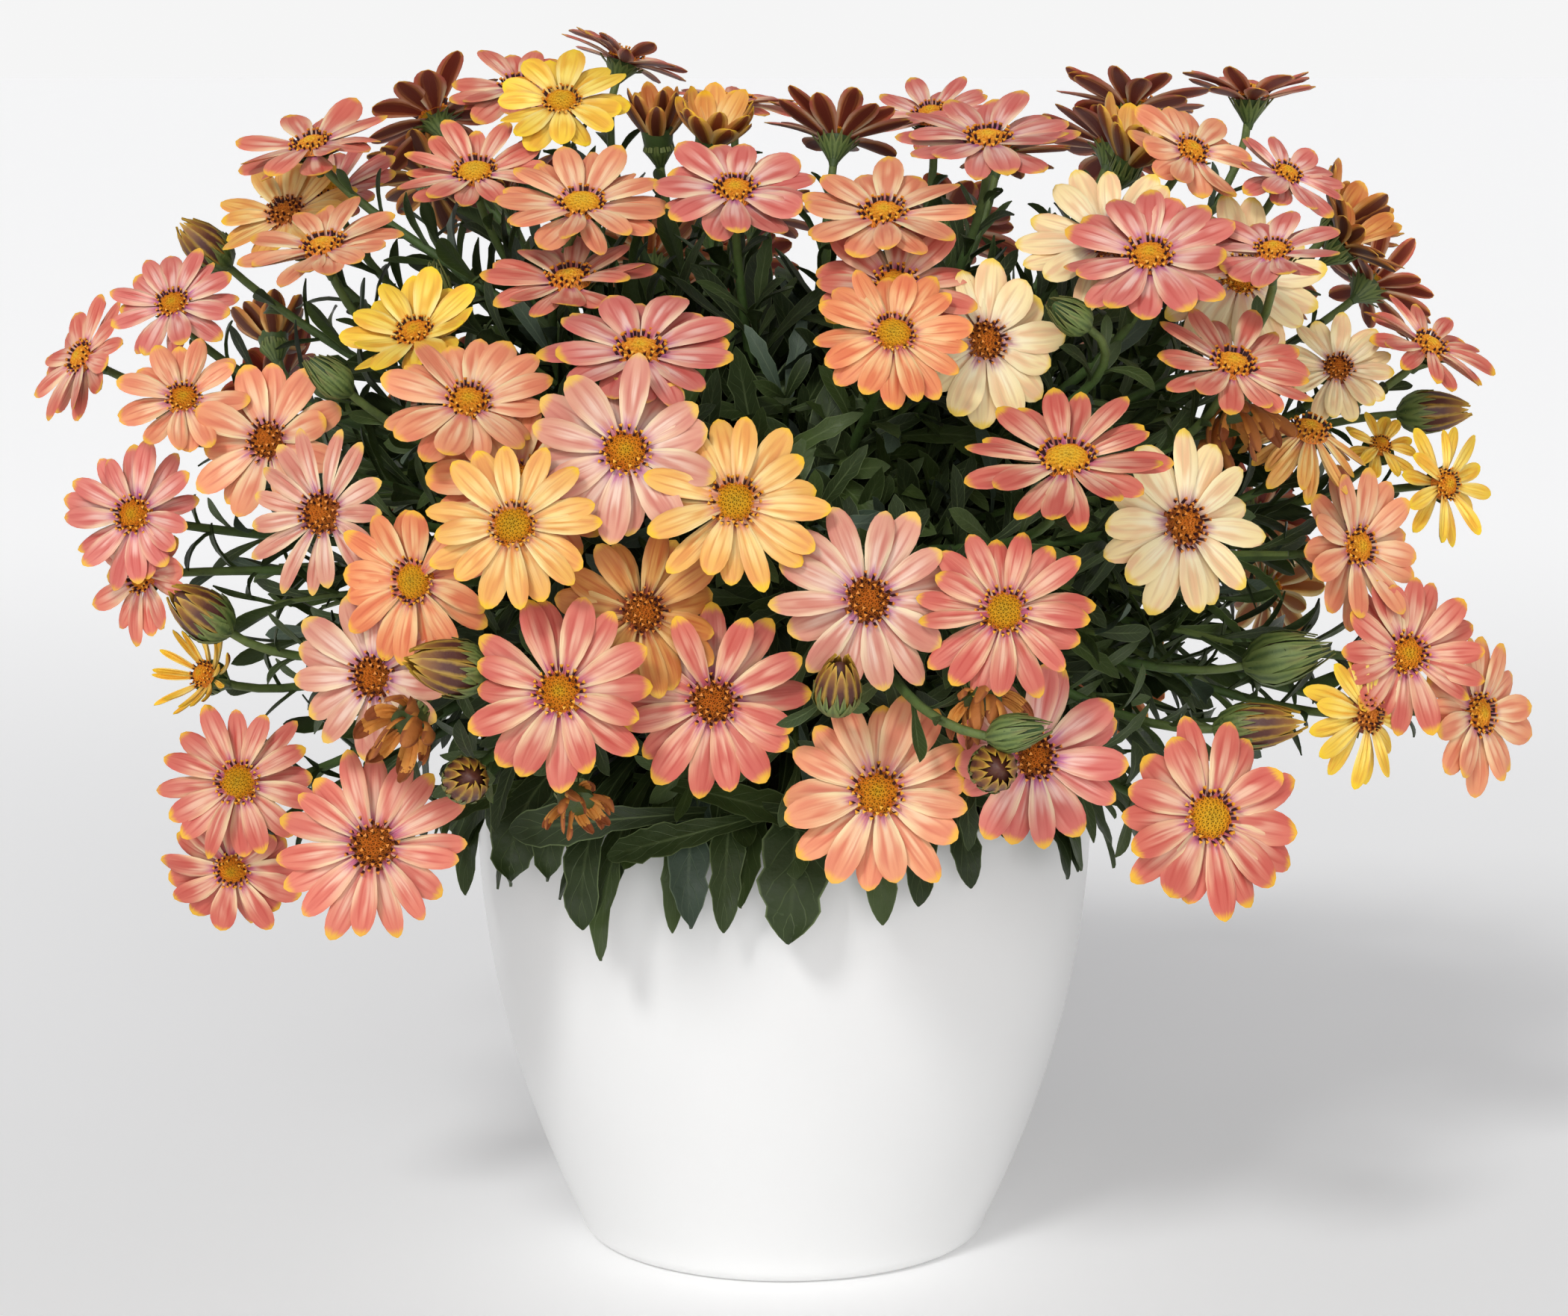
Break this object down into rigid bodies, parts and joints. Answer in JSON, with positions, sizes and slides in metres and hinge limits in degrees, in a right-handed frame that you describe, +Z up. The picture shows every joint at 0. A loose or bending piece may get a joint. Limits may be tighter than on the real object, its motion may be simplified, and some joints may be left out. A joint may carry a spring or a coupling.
{
  "type": "osteospermum in pot",
  "caption": "Bushy osteospermum in full flower, coral, peach and yellow daisy heads on branched leafy stalks, in a plain round white pot that swells to its rim.",
  "frame": {"origin": "centre of the pot's flat underside, on the surface that it stands on", "axes": "+Z up, -Y towards the front of the plant, +X to the right as seen from the front"},
  "size_m": [0.4499, 0.3725, 0.3735],
  "materials": {
    "pot_plastic": "satin",
    "potting_soil": "matte",
    "foliage": "matte",
    "petals_salmon": "matte",
    "petals_yellow": "matte",
    "petals_bronze": "matte",
    "petals_peach": "matte",
    "petals_pink": "matte",
    "petals_coral": "matte",
    "petals_cream": "matte",
    "petals_orange": "matte"
  },
  "bodies": {
    "root": {"pot": "pot_plastic", "soil": "potting_soil", "stems_and_leaves": "foliage", "blooms_01_08_26": "petals_salmon", "blooms_02": "petals_yellow", "blooms_03": "petals_salmon", "blooms_04": "petals_salmon", "blooms_05": "petals_bronze", "blooms_06": "petals_yellow", "blooms_07": "petals_salmon", "blooms_09": "petals_salmon", "blooms_10": "petals_peach", "blooms_11": "petals_pink", "blooms_12_14_16": "petals_salmon", "blooms_13_61_62_63": "petals_peach", "blooms_15": "petals_pink", "blooms_17_c3": "petals_salmon", "blooms_18": "petals_yellow", "blooms_19_21": "petals_peach", "blooms_20": "petals_salmon", "blooms_22_93_a1": "petals_bronze", "blooms_23_24": "petals_pink", "blooms_25": "petals_peach", "blooms_27": "petals_pink", "blooms_29": "petals_salmon", "blooms_30_32": "petals_peach", "blooms_31_a2": "petals_bronze", "blooms_33_35": "petals_pink", "blooms_34_41_45_46_48": "petals_peach", "blooms_37": "petals_yellow", "blooms_38": "petals_salmon", "blooms_39_42_43_44_53_54": "petals_pink", "blooms_40": "petals_yellow", "blooms_47_51_52": "petals_bronze", "blooms_55_56": "petals_coral", "blooms_64_65_66": "petals_pink", "blooms_67": "petals_cream", "blooms_68": "petals_salmon", "blooms_69": "petals_cream", "blooms_70": "petals_coral", "blooms_71": "petals_coral", "blooms_72": "petals_cream", "blooms_74_75_76_80_81": "petals_yellow", "blooms_77": "petals_yellow", "blooms_78": "petals_yellow", "blooms_82": "petals_coral", "blooms_84_85": "petals_coral", "blooms_86": "petals_coral", "blooms_a3_a4_a5": "petals_pink", "blooms_a6": "petals_pink", "blooms_a7": "petals_salmon", "blooms_a8_b1_b3": "petals_coral", "blooms_a9_b2_b4": "petals_peach", "blooms_b5": "petals_coral", "blooms_b6_b7_c1": "petals_orange", "blooms_b8": "petals_pink", "blooms_b9": "petals_coral", "blooms_c2": "petals_peach", "blooms_c4": "petals_pink", "blooms_c5_c6": "petals_coral"}
  },
  "joints": []
}
